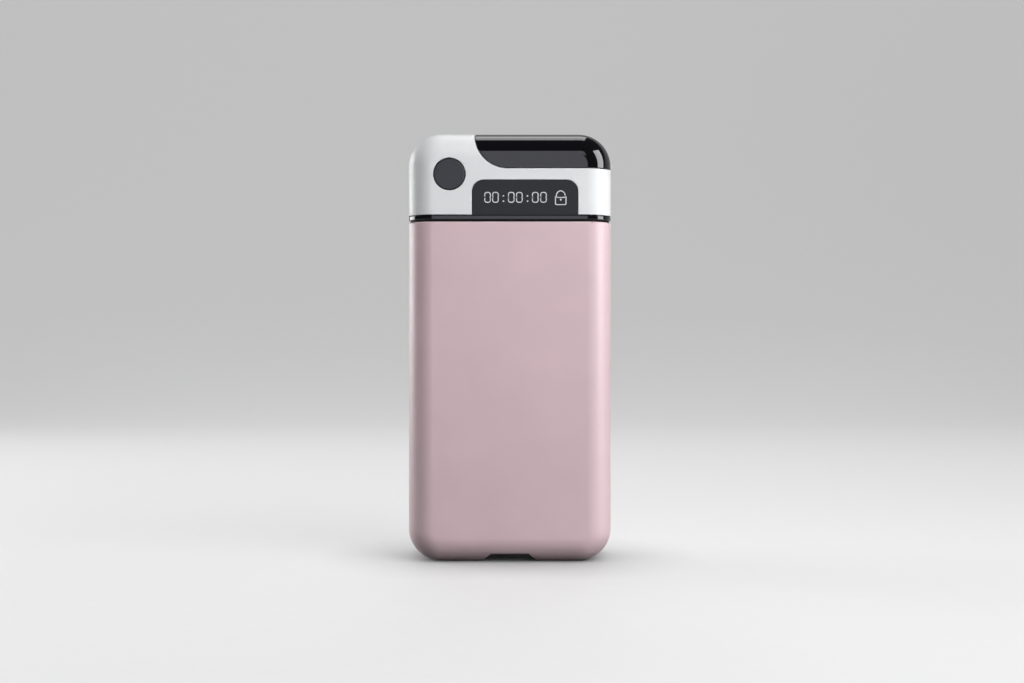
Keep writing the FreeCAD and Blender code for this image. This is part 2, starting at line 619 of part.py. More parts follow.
def head_chassis():
    band = slab(0, BAND_Z, BAND_Z + BAND_HEIGHT)
    outer_edges = [e for f in band.Faces if abs(abs(f.normalAt(0, 0).z) - 1) < 1e-6 for e in f.Edges]
    band = band.makeChamfer(BAND_CHAMFER, outer_edges)
    plate = slab(SEAM_INSET, BAND_Z + BAND_HEIGHT / 2, HEAD_Z)
    chassis = band.fuse(plate)
    lip_inset = HEAD_WALL + LIP_FIT
    chassis = chassis.cut(slab(lip_inset, FLOOR_TOP, HEAD_Z + PAST))
    lip = ring(lip_inset, lip_inset + SNAP_LIP_WALL, FLOOR_TOP - MERGE, FLOOR_TOP + SNAP_LIP_HEIGHT)
    front_cut = box((-SIDE, SIDE), (FRONT, FRONT + EDGE_R), (FLOOR_TOP, HEIGHT))
    lip = lip.cut(front_cut)
    skirt = ring(SKIRT_INSET, SKIRT_INNER, SKIRT_Z, BAND_Z + MERGE).cut(skirt_notch())
    chassis = chassis.multiFuse([lip, skirt, bolt_housing()] + snap_places())
    boss = rod_z(GEAR_PIN_R + GEAR_HUB_WALL, GEAR_X, GEAR_Y, FLOOR_TOP - MERGE, SLIDER_Z)
    front_guide = box((LEG_RIGHT, HOOK_LEFT - HOOK_SWING_ROOM), (GUIDE_Y - GUIDE_THICKNESS, GUIDE_Y),
                      (FLOOR_TOP - MERGE, SLIDER_TOP))
    back_face = LOCK_Y + SLIDER_HALF_WIDTH + SLIDER_SIDE_GAP
    back_guide = box((LEG_RIGHT, MOTOR_X + PINION_PITCH_R), (back_face, back_face + GUIDE_THICKNESS),
                     (FLOOR_TOP - MERGE, SLIDER_TOP))
    posts = [rod_z(FRAME_POST_R, x, y, FLOOR_TOP - MERGE, FRAME_Z) for x, y in frame_posts()]
    chassis = chassis.multiFuse([boss, front_guide, back_guide] + posts).removeSplitter()
    chassis = chassis.cut(sleeve_opening(BAND_Z, HEAD_Z + SNAP_LIP_HEIGHT)).cut(slider_slot())
    chassis = chassis.cut(bolt_room(BOLT_CLEARANCE))
    chassis = chassis.cut(rod_z(GEAR_PIN_R, GEAR_X, GEAR_Y, BAND_Z + GEAR_PIN_SEAT, SLIDER_Z))
    for x, y in frame_posts():
        chassis = chassis.cut(screw_hole(V(x, y, FRAME_TOP), V(0, 0, -1)))
    return chassis


def collar_gasket():
    return ring(GASKET_INSET, SKIRT_INSET, BODY_HEIGHT, BAND_Z)


# Head shell ------------------------------------------------------------------------------------
def window_plate(grow, y_low, y_high, bottom):
    """The window's outline: round at the top, square at the bottom."""
    width = WINDOW_WIDTH + 2 * grow
    top = WINDOW_TOP + grow
    radius = WINDOW_CORNER_R + grow
    height = top - bottom + 2 * radius
    plate = rounded_plate(width, height, radius, (WINDOW_CENTRE_X, top - height / 2), y_low, y_high)
    return plate.common(box((-SIDE, SIDE), (y_low, y_high), (bottom, HEIGHT)))


def charge_stadium(grow, y_low, y_high):
    """Outline of the charging socket."""
    height = CHARGE_PORT_HEIGHT + 2 * grow
    return rounded_plate(CHARGE_PORT_WIDTH + 2 * grow, height, height / 2 - STADIUM_FLAT,
                         (CHARGE_X, CHARGE_Z), y_low, y_high)


def bracket_screw_places():
    x = HINGE_X - BRACKET_WIDTH + SCREW_HEAD_R + BRACKET_SCREW_EDGE
    return [V(x, side * BARREL_LENGTH / 4, DECK_Z + BRACKET_THICKNESS) for side in (-1, 1)]


def hook_slot():
    """Opening in the deck for the lid's hook, with room for its swing."""
    half = HOOK_WIDTH / 2 + HOOK_SLOT_GAP
    return box((HOOK_LEFT - HOOK_SWING_ROOM, HOOK_RIGHT + HOOK_SLOT_GAP),
               (LOCK_Y - half, LOCK_Y + half), (FRAME_Z, HEIGHT))


def head_shell():
    above_seam = box((-SIDE, SIDE), (FRONT, BACK), (HEAD_Z, HEIGHT))
    outer = form(0).common(above_seam).cut(lid_zone(LID_GAP))
    inner = form(HEAD_WALL).cut(lid_zone(LID_GAP + DECK_THICKNESS))
    shell = outer.cut(inner)
    shell = shell.cut(window_plate(LENS_FIT, FRONT - PAST, FRONT + HEAD_WALL, HEAD_Z - PAST))
    shell = shell.cut(rod_y(BUTTON_HOLE_R, BUTTON_X, BUTTON_Z, FRONT - PAST, WALL_BACK_OF_FRONT + PAST / 2))
    shell = shell.cut(charge_stadium(CHARGE_PORT_FIT, BACK - HEAD_WALL - PAST / 2, BACK + PAST))
    shell = shell.cut(sleeve_opening(DECK_Z - DECK_THICKNESS - PAST, HEIGHT))
    shell = shell.cut(hook_slot())
    shell = shell.multiFuse(board_bosses()).removeSplitter()
    for barb in snap_places(SNAP_REACH / 3):
        shell = shell.cut(barb)
    for place in bracket_screw_places():
        shell = shell.cut(screw_hole(place, V(0, 0, -1), DECK_THICKNESS + BRACKET_THICKNESS))
    for place in board_screw_places():
        shell = shell.cut(screw_hole(place, V(0, -1, 0)))
    return shell


def board_boss_places():
    return [(EDGE_R - SIDE, HEAD_Z + BOARD_BOSS_RISE), (SIDE - EDGE_R, DECK_Z - BOARD_BOSS_UNDER_DECK)]


def board_bosses():
    """Bosses inside the front wall that carry the main board."""
    start = FRONT + HEAD_WALL / 2
    return [rod_y(BOARD_BOSS_R, x, z, start, BOARD_FRONT) for x, z in board_boss_places()]


def board_screw_places():
    return [V(x, BOARD_BACK, z) for x, z in board_boss_places()]


# Window, display and boards --------------------------------------------------------------------
def display_lens():
    """Smoked window: fills the cut-out and has a flange behind the wall."""
    face = window_plate(0.0, FRONT + LENS_SET_BACK, FRONT + HEAD_WALL, HEAD_Z)
    flange_back = WALL_BACK_OF_FRONT + LENS_FLANGE
    flange = window_plate(LENS_FLANGE_REACH, WALL_BACK_OF_FRONT, flange_back, HEAD_Z)
    return fused(face, flange)


def display_module():
    """Glass and frame of the display, in one closed block behind the window."""
    back = BOARD_FRONT - MODULE_GAP
    low = HEAD_Z + MODULE_RISE
    high = WINDOW_TOP - MODULE_UNDER_WINDOW_TOP
    return rounded_plate(WINDOW_WIDTH - 2 * MODULE_MARGIN, high - low, MODULE_CORNER_R,
                         (WINDOW_CENTRE_X, (low + high) / 2), back - MODULE_THICKNESS, back)


def main_board():
    """L-shaped board: wide behind the display, with a tab behind the button."""
    top = DECK_Z - DECK_THICKNESS - BOARD_UNDER_DECK
    wide = box((-BOARD_HALF_WIDTH, BOARD_HALF_WIDTH), (BOARD_FRONT, BOARD_BACK), (FLOOR_TOP, top))
    tab = box((-BOARD_HALF_WIDTH, -BOARD_HALF_WIDTH + BOARD_TAB_WIDTH), (BOARD_FRONT, BOARD_BACK),
              (FLOOR_TOP, HEIGHT - BOARD_TAB_TOP))
    board = fused(wide, tab)
    corners = [e for e in board.Edges if abs(e.tangentAt(e.FirstParameter).y) > 0.9
               and e.CenterOfMass.z > FLOOR_TOP + BOARD_CORNER_R]
    board = board.makeFillet(BOARD_CORNER_R, corners)
    for x, z in board_boss_places():
        board = board.cut(rod_y(SCREW_R + SCREW_CLEARANCE / 2, x, z, BOARD_FRONT, BOARD_BACK))
    return board


def board_screws():
    return [screw(place, V(0, -1, 0), BOARD_SCREW_LENGTH) for place in board_screw_places()]


def board_chips():
    """Controller, driver and crystal on the back of the board."""
    chips = []
    for beside_sleeve, above_middle, width, height, thickness in (CONTROLLER, DRIVER, CRYSTAL):
        x = PORT_LEFT - SLEEVE_WALL - beside_sleeve
        z = (HEAD_Z + WINDOW_TOP) / 2 + above_middle
        chips.append(box((x - width / 2, x + width / 2), (BOARD_BACK, BOARD_BACK + thickness),
                         (z - height / 2, z + height / 2)))
    return chips


def tact_switch():
    """Housing of the push switch, bored for its plunger."""
    half = SWITCH_SIZE / 2
    housing = box((BUTTON_X - half, BUTTON_X + half), (BOARD_FRONT - SWITCH_THICKNESS, BOARD_FRONT),
                  (BUTTON_Z - half, BUTTON_Z + half))
    bore_end = BOARD_FRONT - SWITCH_THICKNESS / 8
    return housing.cut(rod_y(PLUNGER_R + PLUNGER_CLEARANCE, BUTTON_X, BUTTON_Z,
                             BOARD_FRONT - SWITCH_THICKNESS - PAST, bore_end))


def switch_plunger():
    front = BOARD_FRONT - SWITCH_THICKNESS - BUTTON_TRAVEL
    back = BOARD_FRONT - SWITCH_THICKNESS / 8 - BUTTON_TRAVEL - PLUNGER_PIP
    return rod_y(PLUNGER_R, BUTTON_X, BUTTON_Z, front, back)


def button_cap():
    """Round flush cap with a retaining flange behind the wall and a pip on the plunger."""
    cap_r = BUTTON_HOLE_R - BUTTON_GAP
    flange_front = WALL_BACK_OF_FRONT + BUTTON_CLEARANCE
    flange_back = BOARD_FRONT - SWITCH_THICKNESS - BUTTON_TRAVEL - PLUNGER_PIP
    cap = rod_y(cap_r, BUTTON_X, BUTTON_Z, FRONT, flange_back)
    rim = [e for e in cap.Edges if abs(e.CenterOfMass.y - FRONT) < 1e-6]
    cap = cap.makeChamfer(BUTTON_CHAMFER, rim)
    flange = rod_y(BUTTON_HOLE_R + BUTTON_FLANGE_REACH, BUTTON_X, BUTTON_Z, flange_front, flange_back)
    pip = rod_y(PLUNGER_R, BUTTON_X, BUTTON_Z, flange_back, flange_back + PLUNGER_PIP)
    return fused(cap, flange, pip)


def battery_cell():
    """Pouch cell between the board and the motor."""
    thickness = BATTERY_BACK - BATTERY_FRONT
    centre = (BATTERY_FROM_SIDE - SIDE + BATTERY_WIDTH / 2, (BATTERY_FRONT + BATTERY_BACK) / 2)
    return well(BATTERY_WIDTH, thickness, BATTERY_ROUNDING * thickness, centre,
                FLOOR_TOP, FLOOR_TOP + BATTERY_HEIGHT)


def charge_port_shell():
    front = CHARGE_BACK - CHARGE_PORT_LENGTH
    tube = charge_stadium(0.0, front, CHARGE_BACK)
    return tube.cut(charge_stadium(-CHARGE_PORT_WALL, front + CHARGE_SHELL_END, CHARGE_BACK))


def charge_port_tongue():
    front = CHARGE_BACK - CHARGE_PORT_LENGTH + CHARGE_SHELL_END
    half_x = CHARGE_TONGUE_WIDTH / 2
    half_z = CHARGE_TONGUE_THICKNESS / 2
    return box((CHARGE_X - half_x, CHARGE_X + half_x), (front, front + CHARGE_TONGUE_LENGTH),
               (CHARGE_Z - half_z, CHARGE_Z + half_z))


def charge_board():
    top = CHARGE_Z - CHARGE_PORT_HEIGHT / 2
    half = CHARGE_BOARD_WIDTH / 2
    return box((CHARGE_X - half, CHARGE_X + half),
               (MOTOR_Y + MOTOR_CAN_R + CHARGE_BOARD_GAP, BACK - HEAD_WALL - CHARGE_BOARD_FROM_WALL),
               (top - CHARGE_BOARD_THICKNESS, top))


# Gears -----------------------------------------------------------------------------------------
def involute(base_r, radius):
    """Angle of the involute of a base circle at a radius."""
    ratio = math.sqrt(max((radius / base_r) ** 2 - 1, 0.0))
    return ratio - math.atan(ratio)


def gear_face(teeth, x, y, z, tooth_at):
    """Spur gear outline with one tooth centred on the direction tooth_at, in degrees."""
    pitch_r = MODULE_M * teeth / 2
    base_r = pitch_r * math.cos(math.radians(PRESSURE_ANGLE))
    tip_r = pitch_r + ADDENDUM * MODULE_M
    root_r = pitch_r - DEDENDUM * MODULE_M
    start_r = max(base_r, root_r)
    half_at_pitch = (math.pi * MODULE_M - BACKLASH) / (4 * pitch_r) + involute(base_r, pitch_r)
    steps = 2
    radii = [start_r + (tip_r - start_r) * i / steps for i in range(steps + 1)]
    flank = [(root_r, half_at_pitch)] if root_r < start_r else []
    flank += [(r, half_at_pitch - involute(base_r, r)) for r in radii]
    points = []
    for tooth in range(teeth):
        middle = math.radians(tooth_at) + 2 * math.pi * tooth / teeth
        sides = [(r, middle - a) for r, a in flank] + [(r, middle + a) for r, a in reversed(flank)]
        points += [V(x + r * math.cos(a), y + r * math.sin(a), z) for r, a in sides]
    return Part.Face(Part.makePolygon(points + points[:1]))


def motor_direction():
    """Direction from the reduction gear to the motor, in degrees."""
    return math.degrees(math.atan2(MOTOR_Y - GEAR_Y, MOTOR_X - GEAR_X))


def reduction_gear():
    """Large gear driven by the motor and small gear that drives the slider, in one moulding."""
    large = gear_face(GEAR_TEETH, GEAR_X, GEAR_Y, GEAR_Z, motor_direction()).extrude(V(0, 0, GEAR_FACE))
    low = SLIDER_Z + GEAR_FLOAT
    small = gear_face(PINION_TEETH, GEAR_X, GEAR_Y, low, -90.0).extrude(V(0, 0, GEAR_Z - low))
    hub = rod_z(GEAR_PIN_R + GEAR_HUB_WALL, GEAR_X, GEAR_Y, GEAR_TOP, FRAME_Z - GEAR_HUB_GAP)
    gear = fused(large, small, hub)
    return gear.cut(rod_z(GEAR_PIN_R + GEAR_BORE_CLEARANCE, GEAR_X, GEAR_Y, SLIDER_Z - PAST, FRAME_Z))


def motor_pinion():
    half_tooth = 180.0 / PINION_TEETH
    toward_gear = motor_direction() + 180.0
    face = gear_face(PINION_TEETH, MOTOR_X, MOTOR_Y, GEAR_Z, toward_gear + half_tooth)
    return face.extrude(V(0, 0, GEAR_FACE)).cut(rod_z(MOTOR_SHAFT_R, MOTOR_X, MOTOR_Y, GEAR_Z, GEAR_TOP))


def motor_shaft():
    top = MOTOR_BOX_TOP - MOTOR_BORE_END - MOTOR_SHAFT_END_GAP
    return rod_z(MOTOR_SHAFT_R, MOTOR_X, MOTOR_Y, GEAR_Z - MOTOR_SHAFT_PROUD, top)


def motor_gearbox():
    block = well(MOTOR_BOX_SIZE, MOTOR_BOX_SIZE, MOTOR_BOX_CORNER_R, (MOTOR_X, MOTOR_Y),
                 FRAME_TOP, MOTOR_BOX_TOP)
    bore_r = MOTOR_SHAFT_R + GEAR_BORE_CLEARANCE
    return block.cut(rod_z(bore_r, MOTOR_X, MOTOR_Y, FRAME_TOP, MOTOR_BOX_TOP - MOTOR_BORE_END))


def motor_can():
    top = MOTOR_BOX_TOP + MOTOR_CAN_LENGTH
    can = rod_z(MOTOR_CAN_R, MOTOR_X, MOTOR_Y, MOTOR_BOX_TOP, top)
    can = can.makeChamfer(MOTOR_CAN_CHAMFER, [e for e in can.Edges if abs(e.CenterOfMass.z - top) < 1e-6])
    collar = rod_z(MOTOR_COLLAR_R, MOTOR_X, MOTOR_Y, top - MERGE, top + MOTOR_COLLAR)
    return fused(can, collar)


def gear_frame():
    """Plate on three posts that carries the motor and the top of the gear pin."""
    left = MOTOR_X - MOTOR_BOX_SIZE / 2 - FRAME_EDGE
    right = GEAR_X + FRAME_BEYOND_GEAR
    front = POST_Y - FRAME_POST_R
    back = frame_posts()[0][1] + FRAME_POST_R + FRAME_EDGE / 2
    plate = well(right - left, back - front, FRAME_CORNER_R, ((left + right) / 2, (front + back) / 2),
                 FRAME_Z, FRAME_TOP)
    plate = plate.cut(rod_z(MOTOR_SHAFT_R + MOTOR_SHAFT_ROOM, MOTOR_X, MOTOR_Y, FRAME_Z, FRAME_TOP))
    plate = plate.cut(rod_z(GEAR_PIN_R, GEAR_X, GEAR_Y, FRAME_Z, FRAME_TOP))
    for x, y in frame_posts():
        plate = plate.cut(rod_z(SCREW_R + SCREW_CLEARANCE, x, y, FRAME_Z, FRAME_TOP))
    stand_top = CHARGE_Z - CHARGE_PORT_HEIGHT / 2 - CHARGE_BOARD_THICKNESS
    stands = [rod_z(CHARGE_STAND_R, CHARGE_X + side * CHARGE_STAND_SPREAD, back - FRAME_EDGE,
                    FRAME_TOP - MERGE, stand_top) for side in (-1, 1)]
    return fused(plate, *stands)


def gear_pin():
    return rod_z(GEAR_PIN_R, GEAR_X, GEAR_Y, BAND_Z + GEAR_PIN_SEAT, FRAME_TOP)


def frame_screws():
    return [screw(V(x, y, FRAME_TOP), V(0, 0, -1)) for x, y in frame_posts()]


# Lock slider -----------------------------------------------------------------------------------
def rack_teeth():
    """Rack on the slider's back edge, with a gap opposite the small gear."""
    pitch = math.pi * MODULE_M
    slope = math.tan(math.radians(PRESSURE_ANGLE))
    tip = LOCK_Y + RACK_PITCH_Y + ADDENDUM * MODULE_M
    root = LOCK_Y + RACK_PITCH_Y - DEDENDUM * MODULE_M
    half = pitch / 4 - BACKLASH / 4
    teeth = []
    reach = int(math.ceil(LOCK_TRAVEL / pitch))
    for index in range(-2, 3 + reach):
        middle = GEAR_X + (index - 0.5) * pitch
        tip_half = half - ADDENDUM * MODULE_M * slope
        root_half = half + DEDENDUM * MODULE_M * slope
        outline = [(middle - root_half, root), (middle - tip_half, tip),
                   (middle + tip_half, tip), (middle + root_half, root)]
        tooth = prism([V(x, y, SLIDER_Z) for x, y in outline], V(0, 0, RACK_FACE))
        base = box((middle - root_half, middle + root_half), (root - MERGE, root), (SLIDER_Z, SLIDER_TOP))
        teeth.append(tooth.fuse(base))
    return teeth


def bolt_leg():
    """Upright part of the bolt, which sits in a slot of the slider."""
    return box((LEG_LEFT, LEG_RIGHT), (LOCK_Y - BOLT_WIDTH / 2, LOCK_Y + BOLT_WIDTH / 2),
               (BOLT_Z, SLIDER_TOP))


def lock_bolt():
    """Steel angle: its leg hangs from the slider and its foot enters the strike."""
    bolt = box((BOLT_TIP, LEG_LEFT), (LOCK_Y - BOLT_WIDTH / 2, LOCK_Y + BOLT_WIDTH / 2),
               (BOLT_Z, BOLT_Z + BOLT_HEIGHT))
    lead = [e for e in bolt.Edges if abs(e.CenterOfMass.x - BOLT_TIP) < 1e-6
            and abs(e.tangentAt(e.FirstParameter).y) > 0.9]
    return fused(bolt_leg(), bolt.makeChamfer(BOLT_LEAD, lead))


def catch_arm():
    """Upright part of the lid's catch, which stands in a slot of the slider."""
    return box((ARM_LEFT, ARM_RIGHT), (LOCK_Y - NOSE_WIDTH / 2, LOCK_Y + NOSE_WIDTH / 2),
               (SLIDER_Z, NOSE_Z + NOSE_HEIGHT))


def lid_catch():
    """Steel angle: its nose enters the window of the lid's hook."""
    nose = box((NOSE_TIP, ARM_LEFT), (LOCK_Y - NOSE_WIDTH / 2, LOCK_Y + NOSE_WIDTH / 2),
               (NOSE_Z, NOSE_Z + NOSE_HEIGHT))
    lead = [e for e in nose.Edges if abs(e.CenterOfMass.x - NOSE_TIP) < 1e-6]
    return fused(catch_arm(), nose.makeChamfer(NOSE_LEAD, lead))


def lock_slider():
    """Moulded plate with a rack and sockets for the bolt and the catch."""
    root = LOCK_Y + RACK_PITCH_Y - DEDENDUM * MODULE_M
    plate = box((LEG_LEFT - LEG_SOCKET_WALL, ARM_RIGHT + LEG_SOCKET_WALL),
                (LOCK_Y - SLIDER_HALF_WIDTH, root), (SLIDER_Z, SLIDER_TOP))
    return fused(plate, *rack_teeth()).cut(bolt_leg()).cut(catch_arm())


def slider_switch():
    """Detector switch beside the slider, in front of its guide."""
    left = BATTERY_FROM_SIDE - SIDE + BATTERY_WIDTH + 3 * POST_GAP
    right = frame_posts()[2][0] - FRAME_POST_R - 3 * POST_GAP
    back = GUIDE_Y - GUIDE_THICKNESS
    top = FLOOR_TOP + SWITCH_BODY_HEIGHT
    body = box((left, right), (back - SWITCH_BODY_DEPTH, back), (FLOOR_TOP, top))
    quarter_x = (right - left) / 4
    third_y = SWITCH_BODY_DEPTH / 3
    lever = box((left + quarter_x, right - quarter_x), (back - 2 * third_y, back - third_y),
                (top, top + SWITCH_LEVER))
    return fused(body, lever)


# Port, hinge and lid ---------------------------------------------------------------------------
def port_sleeve():
    """Throat from the deck down to the cavity, with a rim that meets the lid's seal."""
    top = DECK_Z + SLEEVE_RIM
    outer = port_well(SLEEVE_WALL, BAND_Z, top)
    rim = [e for e in outer.Edges if abs(e.CenterOfMass.z - top) < 1e-6]
    outer = outer.makeChamfer(SLEEVE_WALL / 3, rim)
    return outer.cut(port_well(0.0, BAND_Z, top))


def hinge_bracket():
    """Leaf on the deck with two curled knuckles for the pin."""
    left = HINGE_X - BRACKET_WIDTH
    half = BARREL_LENGTH / 2
    lid_half = LID_KNUCKLE_LENGTH / 2 + KNUCKLE_GAP
    leaf = box((left, HINGE_X - BARREL_R / 2), (-half, half), (DECK_Z, DECK_Z + BRACKET_THICKNESS))
    curls = []
    for y_low, y_high in ((-half, -lid_half), (lid_half, half)):
        curls.append(rod_y(BARREL_R, HINGE_X, HINGE_Z, y_low, y_high))
        curls.append(box((HINGE_X - BARREL_R, HINGE_X), (y_low, y_high),
                         (DECK_Z + BRACKET_RELIEF / 2, HINGE_Z)))
    bracket = fused(leaf, *curls)
    middle = box((HINGE_X - BARREL_R - BRACKET_RELIEF, SIDE + BARREL_R), (-lid_half, lid_half),
                 (LID_Z - LID_GAP, HINGE_Z + BARREL_R))
    bracket = bracket.cut(middle)
    bracket = bracket.cut(rod_y(PIN_R, HINGE_X, HINGE_Z, -half, half))
    for place in bracket_screw_places():
        bracket = bracket.cut(screw_hole(place, V(0, 0, -1), BRACKET_THICKNESS))
    return bracket


def bracket_screws():
    length = DECK_THICKNESS + BRACKET_THICKNESS - BRACKET_SCREW_SHORT
    return [screw(place, V(0, 0, -1), length) for place in bracket_screw_places()]


def hinge_pin():
    half = BARREL_LENGTH / 2
    return rod_y(PIN_R, HINGE_X, HINGE_Z, -half, half)


def hinge_room():
    """Space around the barrel that the lid's walls keep clear of."""
    half = BARREL_LENGTH / 2 + KNUCKLE_GAP
    reach = BARREL_R + KNUCKLE_GAP
    around = rod_y(reach, HINGE_X, HINGE_Z, -half, half)
    below = box((HINGE_X - reach, SIDE + PAST), (-half, half), (LID_Z - PAST, HINGE_Z))
    leaf_top = DECK_Z + BRACKET_THICKNESS + BRACKET_RELIEF
    leaf = box((HINGE_X - BRACKET_WIDTH - BRACKET_RELIEF, SIDE), (-half, half), (LID_Z - PAST, leaf_top))
    heads_top = DECK_Z + BRACKET_THICKNESS + SCREW_HEAD_HEIGHT + BRACKET_RELIEF
    heads = box((HINGE_X - BRACKET_WIDTH - BRACKET_RELIEF, HINGE_X - BARREL_R), (-half, half),
                (LID_Z - PAST, heads_top))
    return [around, below, leaf, heads]


def lid_shell():
    shell = form(0).common(lid_zone(0.0)).cut(form(LID_WALL))
    for room in hinge_room():
        shell = shell.cut(room)
    half = LID_KNUCKLE_LENGTH / 2
    knuckle = rod_y(BARREL_R, HINGE_X, HINGE_Z, -half, half)
    web = box((SIDE - LID_WALL, SIDE - LID_WALL / 4), (-half, half),
              (HINGE_Z, HINGE_Z + BARREL_R + KNUCKLE_GAP + KNUCKLE_WEB))
    shell = fused(shell, knuckle, web)
    return shell.cut(rod_y(PIN_R + PIN_CLEARANCE, HINGE_X, HINGE_Z, -half - PAST, half + PAST))


def hook_boss():
    """Block on the liner that carries the hook."""
    half = HOOK_WIDTH / 2 + HOOK_BOSS_MARGIN
    return box((HOOK_LEFT - HOOK_BOSS_MARGIN, HOOK_RIGHT + HOOK_FLANGE_LENGTH + HOOK_BOSS_MARGIN / 2),
               (LOCK_Y - half, LOCK_Y + half), (LID_Z, HOOK_SEAT_Z))


def hook_screw_places():
    x = HOOK_RIGHT + HOOK_FLANGE_LENGTH / 2
    reach = HOOK_WIDTH / 2 - SCREW_HEAD_R
    return [V(x, LOCK_Y + side * reach, HOOK_SEAT_Z + HOOK_FLANGE) for side in (-1, 1)]


def lid_liner():
    """Panel that closes the lid from below, with a pan for the seal and a boss for the hook."""
    lower = lid_zone(0.0)
    upper = lid_zone(-LID_LINER_WALL)
    panel = lower.cut(upper)
    grow = SLEEVE_WALL + LID_PAN_MARGIN
    pan_top = LID_Z + LID_PAN_DEPTH
    pan = port_well(grow + LID_LINER_WALL, LID_Z, pan_top + LID_LINER_WALL)
    boss = hook_boss().common(lower)
    liner = panel.multiFuse([pan, boss]).cut(port_well(grow, LID_Z - PAST, pan_top))
    liner = liner.common(form(LID_WALL + LID_LINER_FIT))
    hook_hole = box((HOOK_LEFT, HOOK_RIGHT), (LOCK_Y - HOOK_WIDTH / 2, LOCK_Y + HOOK_WIDTH / 2),
                    (LID_Z - PAST, HOOK_SEAT_Z))
    liner = liner.cut(hook_hole)
    for place in hook_screw_places():
        liner = liner.cut(screw_hole(place, V(0, 0, -1)))
    for room in hinge_room():
        liner = liner.cut(room)
    return liner.removeSplitter()


def lid_seal():
    top = LID_Z + LID_PAN_DEPTH
    return port_well(SLEEVE_WALL + LID_PAN_MARGIN - LID_SEAL_FIT, top - LID_SEAL, top)


def lid_hook():
    """Steel tongue with a window for the slider's nose and a flange inside the lid."""
    span = (LOCK_Y - HOOK_WIDTH / 2, LOCK_Y + HOOK_WIDTH / 2)
    tongue = box((HOOK_LEFT, HOOK_RIGHT), span, (HOOK_BOTTOM, HOOK_SEAT_Z + HOOK_FLANGE))
    low = [e for e in tongue.Edges if abs(e.CenterOfMass.z - HOOK_BOTTOM) < 1e-6
           and abs(e.tangentAt(e.FirstParameter).y) > 0.9]
    tongue = tongue.makeChamfer(HOOK_LEAD, low)
    flange = box((HOOK_LEFT, HOOK_RIGHT + HOOK_FLANGE_LENGTH), span, (HOOK_SEAT_Z, HOOK_SEAT_Z + HOOK_FLANGE))
    window_half = HOOK_WINDOW_WIDTH / 2
    window = box((HOOK_LEFT - PAST, HOOK_RIGHT + PAST), (LOCK_Y - window_half, LOCK_Y + window_half),
                 (HOOK_WINDOW_Z, HOOK_WINDOW_Z + HOOK_WINDOW_HEIGHT))
    hook = fused(tongue, flange).cut(window)
    for place in hook_screw_places():
        hook = hook.cut(screw_hole(place, V(0, 0, -1), HOOK_FLANGE))
    return hook


def hook_screws():
    return [screw(place, V(0, 0, -1), HOOK_FLANGE + HOOK_SCREW_GRIP) for place in hook_screw_places()]


NODES = [body_shell, body_liner, base_channel_trim, cavity_pad, keeper_plate, keeper_screws,
         head_shell, head_chassis, collar_gasket, port_sleeve, display_lens, display_module,
         main_board, board_chips, board_screws, tact_switch, battery_cell, charge_board, charge_port_shell,
         charge_port_tongue, gear_frame, frame_screws, gear_pin, motor_can, motor_gearbox,
         slider_switch, hinge_bracket, bracket_screws, hinge_pin, lid_shell, lid_liner, lid_seal,
         lid_hook, hook_screws, button_cap, switch_plunger, lock_slider, lock_bolt, lid_catch,
         reduction_gear, motor_pinion, motor_shaft]


for make in NODES:
    save(make.__name__, make())
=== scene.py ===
"""Looks of the timed lock container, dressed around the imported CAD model. Units are metres."""
import bmesh
import bpy
import json
import math
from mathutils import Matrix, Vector


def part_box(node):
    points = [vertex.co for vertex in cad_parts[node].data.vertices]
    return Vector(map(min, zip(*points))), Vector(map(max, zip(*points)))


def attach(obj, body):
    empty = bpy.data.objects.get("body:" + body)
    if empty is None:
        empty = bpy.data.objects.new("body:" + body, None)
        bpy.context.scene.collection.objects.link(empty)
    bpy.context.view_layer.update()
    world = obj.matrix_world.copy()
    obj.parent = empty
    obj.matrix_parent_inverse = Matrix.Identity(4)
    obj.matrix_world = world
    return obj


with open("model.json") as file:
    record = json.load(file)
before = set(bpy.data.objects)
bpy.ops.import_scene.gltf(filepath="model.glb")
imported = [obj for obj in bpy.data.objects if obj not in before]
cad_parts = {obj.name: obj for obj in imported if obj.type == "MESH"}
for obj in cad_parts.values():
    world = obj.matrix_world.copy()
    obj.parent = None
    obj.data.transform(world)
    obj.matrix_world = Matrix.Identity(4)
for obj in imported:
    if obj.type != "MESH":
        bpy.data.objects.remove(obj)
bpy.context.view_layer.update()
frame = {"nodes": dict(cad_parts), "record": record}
MM = 0.001

# Camera and light ------------------------------------------------------------------------------
CAMERA_PLACE = Vector((0.67, -431.9, 65.0)) * MM
CAMERA_LENS = 50.0
CAMERA_SENSOR = 36.0
LAMP_AIM = Vector((0.0, 0.0, 63.0)) * MM   # near the middle of the case

WORLD_GREY = 0.07
HORIZON_GREY = 0.48           # the world near and below the horizon, where it continues the floor
HORIZON_RISE = (0.05, 0.09)   # sines of the elevations between which that pale band ends

